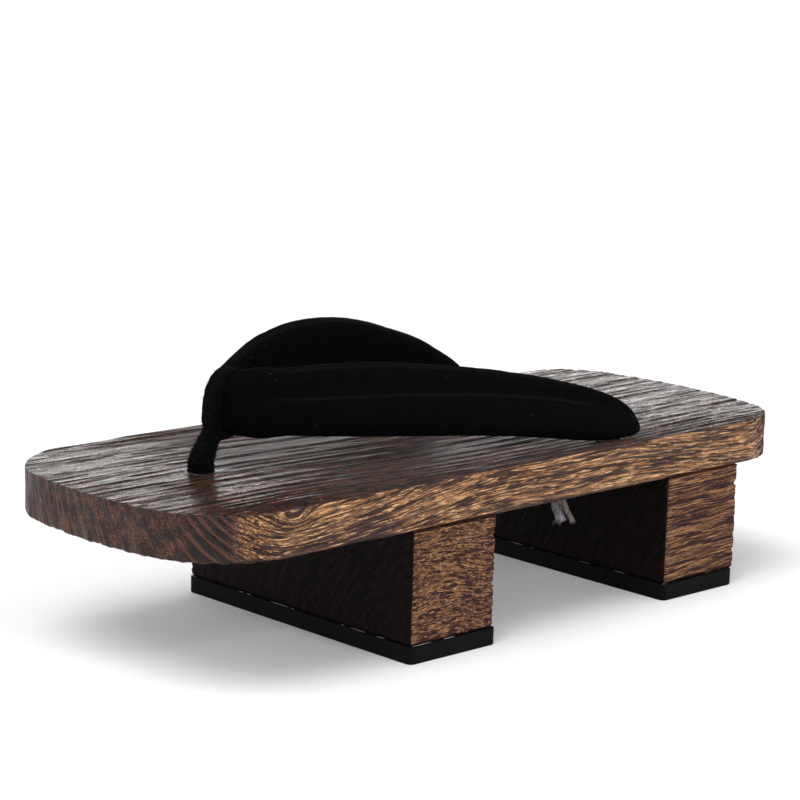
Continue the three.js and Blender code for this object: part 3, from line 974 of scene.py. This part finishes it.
def remeshed_copy(node, name, material, voxel, smoothing):
    """A fine, even mesh over a node's solid, with its facets smoothed out."""
    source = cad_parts[node]
    piece = bpy.data.objects.new(name, source.data.copy())
    scene.collection.objects.link(piece)
    piece.data.materials.clear()
    remesh = piece.modifiers.new("even", "REMESH")
    remesh.mode, remesh.voxel_size = "VOXEL", voxel * MM
    relax = piece.modifiers.new("relax", "SMOOTH")
    relax.factor, relax.iterations = 0.5, smoothing
    apply_modifiers(piece)
    piece.data.materials.append(material)
    piece.data.shade_smooth()
    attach(piece, "root")
    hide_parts(node)
    return piece


# Where the soft folds lie across the strap on the +X and on the -X side: y along the shoe, how
# deep and how wide.
STRAP_FOLDS = {
    1: ((-62, 0.12, 2.2), (0, 0.12, 1.5), (12, 0.15, 2), (31, 0.12, 2.2)),
    -1: ((-55, 0.12, 2.5), (15, 0.12, 2.5)),
}
FOLD_LEAN = 3  # how far a fold runs along the shoe from a strap's lower edge to its upper one
# The seams: their height on the band as a share, how wide and deep they are and how much lighter
# they are painted, partly for their thread and partly as a painted highlight where the seam's edge
# catches the light. The middle one climbs from the toe to the heel.
MIDDLE_SEAM = {"toe": 0.575, "heel": 0.68, "width": 0.30, "depth": 0.30, "thread_and_highlight": 0.6}
EDGE_SEAM = {"height": 0.965, "width": 0.4, "depth": 0.10, "thread_and_highlight": 0.35}
STATIONS = np.arange(-80, 60, 4.0)  # places along the shoe where the straps' edges are measured
STATION_REACH = 1.5  # how far from its station a point still counts


def band_edges(y, z, ours):
    """How high the lower and the upper edge of one strap are at each point's place."""
    lows, tops = [], []
    for station in STATIONS:
        near = ours & (np.abs(y - station) < STATION_REACH)
        lows.append(z[near].min())
        tops.append(z[near].max())
    return np.interp(y, STATIONS, lows), np.interp(y, STATIONS, tops)


def add_straps(material):
    piece = remeshed_copy(
        "upper", "upper_velvet", material, voxel=0.7, smoothing=4
    )
    mesh = piece.data
    places = coordinates(mesh) / MM
    ways = normals(mesh)
    sunk = np.zeros(len(places))
    seam = np.zeros(len(places))
    x, y, z = places.T
    climb = MIDDLE_SEAM["heel"] - MIDDLE_SEAM["toe"]
    height = MIDDLE_SEAM["toe"] + climb * smooth_step(y, -60, 50)
    for side in (1, -1):
        ours = x * side > 0
        low, top = band_edges(y, z, ours)
        band_height = top - low
        share = (z - low) / band_height
        band = ours * smooth_step(y, -80, -68) * (1 - smooth_step(y, 34, 46))
        outer = smooth_step(ways[:, 0] * side, 0.15, 0.5)
        from_middle = (share - height) * band_height / MIDDLE_SEAM["width"]
        from_edge = (share - EDGE_SEAM["height"]) * band_height / EDGE_SEAM["width"]
        middle_seam = np.exp(-(from_middle**2)) * outer * band
        edge_seam = np.exp(-(from_edge**2)) * band
        sunk += MIDDLE_SEAM["depth"] * middle_seam + EDGE_SEAM["depth"] * edge_seam
        seam += MIDDLE_SEAM["thread_and_highlight"] * middle_seam + EDGE_SEAM["thread_and_highlight"] * edge_seam
        for place, deep, wide in STRAP_FOLDS[side]:
            lean = place + (share - 0.5) * FOLD_LEAN
            sunk += ours * deep * np.exp(-(((y - lean) / wide) ** 2)) * np.clip(share, 0, 1)
    puckers = 0.04 * noise_at(places, (5, 4, 7), 6) + 0.12 * noise_at(places, (20, 20, 20), 2)
    sunk += puckers * (z > BOARD_HIGH + 2) + 0.1
    # seam: how much lighter the velvet is painted along the seams, partly for thread and partly as
    # a painted highlight.
    set_values(mesh, "seam", np.clip(seam, 0, 1))
    set_coordinates(mesh, (places - ways * sunk[:, None]) * MM)


# The thong's fuzz: how many hairs, how much they stray and bend, and how long and thick they are.
FUZZ = {"hairs": 2600, "stray": 0.55, "bend": 0.3, "length": (0.4, 1.5), "radius": 0.035}


def add_thong(material):
    piece = remeshed_copy(
        "toe_thong", "toe_thong_felt", material, voxel=0.35, smoothing=3
    )
    mesh = piece.data
    places = coordinates(mesh) / MM
    ways = normals(mesh)
    lumps = 0.16 * noise_at(places, (2.2, 2.2, 2.2), 9) + 0.1 * noise_at(places, 0.9, 1)
    above = smooth_step(places[:, 2], BOARD_HIGH, BOARD_HIGH + 1)
    set_coordinates(mesh, (places + ways * (lumps * above)[:, None]) * MM)

    places = coordinates(mesh)
    ways = normals(mesh)
    strands = []
    shown = np.flatnonzero(places[:, 2] > (BOARD_HIGH + 0.6) * MM)
    for _ in range(FUZZ["hairs"]):
        k = int(shown[rng.randrange(len(shown))])
        way = ways[k] + scatter(FUZZ["stray"])
        way /= np.linalg.norm(way)
        bend = scatter(FUZZ["bend"])
        reach = rng.uniform(*FUZZ["length"]) * MM
        strands.append([
            places[k] + reach * (way * share + bend * share**2) for share in (0, 0.35, 0.7, 1)
        ])
    fibre_piece("toe_thong_fuzz", strands, FUZZ["radius"] * MM, material)


# ---------------------------------------------------------------- knots and cord ends

# Each loose cord end: its radius, its length and the places it goes through, in mm.
TAILS = {
    "tail_left_wide": (1.9, 32.6, (
        (38.4, 55.4, 41.1), (35.4, 57.2, 41.1), (31.6, 56, 41.1), (29, 52, 40.9),
        (28.2, 47.6, 40.2), (28.3, 43.8, 38.2), (28.8, 41.6, 34.9), (29.5, 41.8, 31.4),
        (30.2, 42.8, 28),
    )),
    "tail_left_thin": (1.0, 31.0, (
        (45.6, 43.2, 42), (45.3, 39.6, 42), (43.2, 36.8, 42), (40, 35.6, 41.9),
        (36.8, 36.2, 41.2), (34.6, 38, 38.6), (33.8, 40.2, 35), (33.5, 42.6, 31.4),
        (33.4, 45.2, 27.8),
    )),
    "tail_right_wide": (1.9, 31.5, (
        (-36, 50.2, 41.1), (-32, 50.4, 40.2), (-28.6, 50, 36.8), (-26.8, 49.2, 31.8),
        (-26.4, 48.2, 26.2), (-26.8, 47.4, 20.6), (-27.6, 47, 15),
    )),
    "tail_right_thin": (1.0, 32.1, (
        (-38.6, 55.6, 42), (-35.4, 58.2, 41.2), (-32.6, 60.2, 38), (-31, 61, 33),
        (-30.6, 60.8, 27.6), (-31, 60.2, 22.4), (-31.8, 59.8, 15.4),
    )),
}
TWIST = 5.5  # turns of the strands along a cord end
# A cord end's frayed threads: how many for each mm of its radius, how thick they are, how far
# inside the cord they start, how long they are, and how much they scatter and spread.
FRAY = {
    "threads": 70, "radius": 0.11, "inside": 0.6, "length": (0.5, 1.3),
    "scatter": 0.45, "spread": (0.1, 0.6),
}
# A knot: how far it stands out under the board, its cord's radius and the turns of its strands.
KNOT = {"below": 1.2, "radius": 1.75, "twist": 20}


def add_tail(name, material):
    radius, length, route = TAILS[name]
    line = spline(route, steps=72) * MM

    def lay(share, angle):
        return radius * MM * (0.93 + 0.09 * math.cos(3 * angle - 2 * math.pi * TWIST * share))

    points, faces = join_rings(tube_rings(line, lay, sides=18))
    piece = add_piece(f"{name}_cotton", points, faces, material)
    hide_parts(name)

    end, way = line[-1], line[-1] - line[-3]
    way /= np.linalg.norm(way)
    strands = []
    for _ in range(int(FRAY["threads"] * radius)):
        start = scatter(FRAY["scatter"]) * radius * MM
        start -= way * start.dot(way)
        spread = start * rng.uniform(*FRAY["spread"])
        reach = rng.uniform(*FRAY["length"]) * MM
        strands.append([
            end - way * FRAY["inside"] * MM + start + way * reach * share + spread * share**1.5
            for share in (0, 0.3, 0.65, 1)
        ])
    fray = fibre_piece(f"{name}_fray", strands, FRAY["radius"] * MM, material)


def add_knot(node, material):
    """A cord tied in a trefoil, packed into the space of the node's solid."""
    low, high = (np.array(corner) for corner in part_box(node))
    low[2] = max(low[2], (BOARD_LOW - KNOT["below"]) * MM)
    middle, reach = (low + high) / 2, (high - low) / 2
    radius = KNOT["radius"] * MM
    swing = reach - radius * 1.05
    line = [
        middle + swing * (
            (math.sin(t) + 2 * math.sin(2 * t)) / 3,
            (math.cos(t) - 2 * math.cos(2 * t)) / 3,
            -math.sin(3 * t),
        )
        for t in np.linspace(0, 2 * math.pi, 97)
    ]

    def lay(share, angle):
        return radius * (0.94 + 0.06 * math.cos(3 * angle - 2 * math.pi * KNOT["twist"] * share))

    points, faces = join_rings(tube_rings(np.array(line), lay, sides=14))
    piece = add_piece(f"{node}_tied", points, faces, material)
    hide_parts(node)


# ---------------------------------------------------------------- the sandal

add_camera()
cotton = cotton_material("cotton", rgb(0.34, 0.34, 0.36), rgb(0.12, 0.12, 0.13))
soiled = cotton_material("cotton_soiled", rgb(0.20, 0.175, 0.15), rgb(0.075, 0.066, 0.058))
for tail_name in TAILS:
    add_tail(tail_name, cotton if tail_name.endswith("wide") else soiled)
add_knot("knot_left", cotton)
add_knot("knot_right", cotton)
felt = felt_material()
add_knot("knot_toe", felt)

matt = {"Specular_IOR_Level": 0.22}
lacquered = {"Specular_IOR_Level": 0.5, "Coat_Weight": 0.15, "Coat_Roughness": 0.10}
add_board(
    wood_material("board_edges", SIDE_TONE, **matt),
    wood_material("board_top", BOARD_TONE, **lacquered),
)
rubber = rubber_material()
glue = glue_material()
for tooth_name, tooth_row in TEETH.items():
    tooth_tone = {**TEETH_TONE, "run": tooth_row["run"]}
    tooth_wood = wood_material(f"tooth_{tooth_name}", tooth_tone, Specular_IOR_Level=0.03)
    add_tooth(tooth_name, tooth_wood)
    add_tread(tooth_name, rubber)
    add_glue(tooth_name, glue)

add_straps(velvet_material())
add_thong(felt)
add_studio()
add_floor()
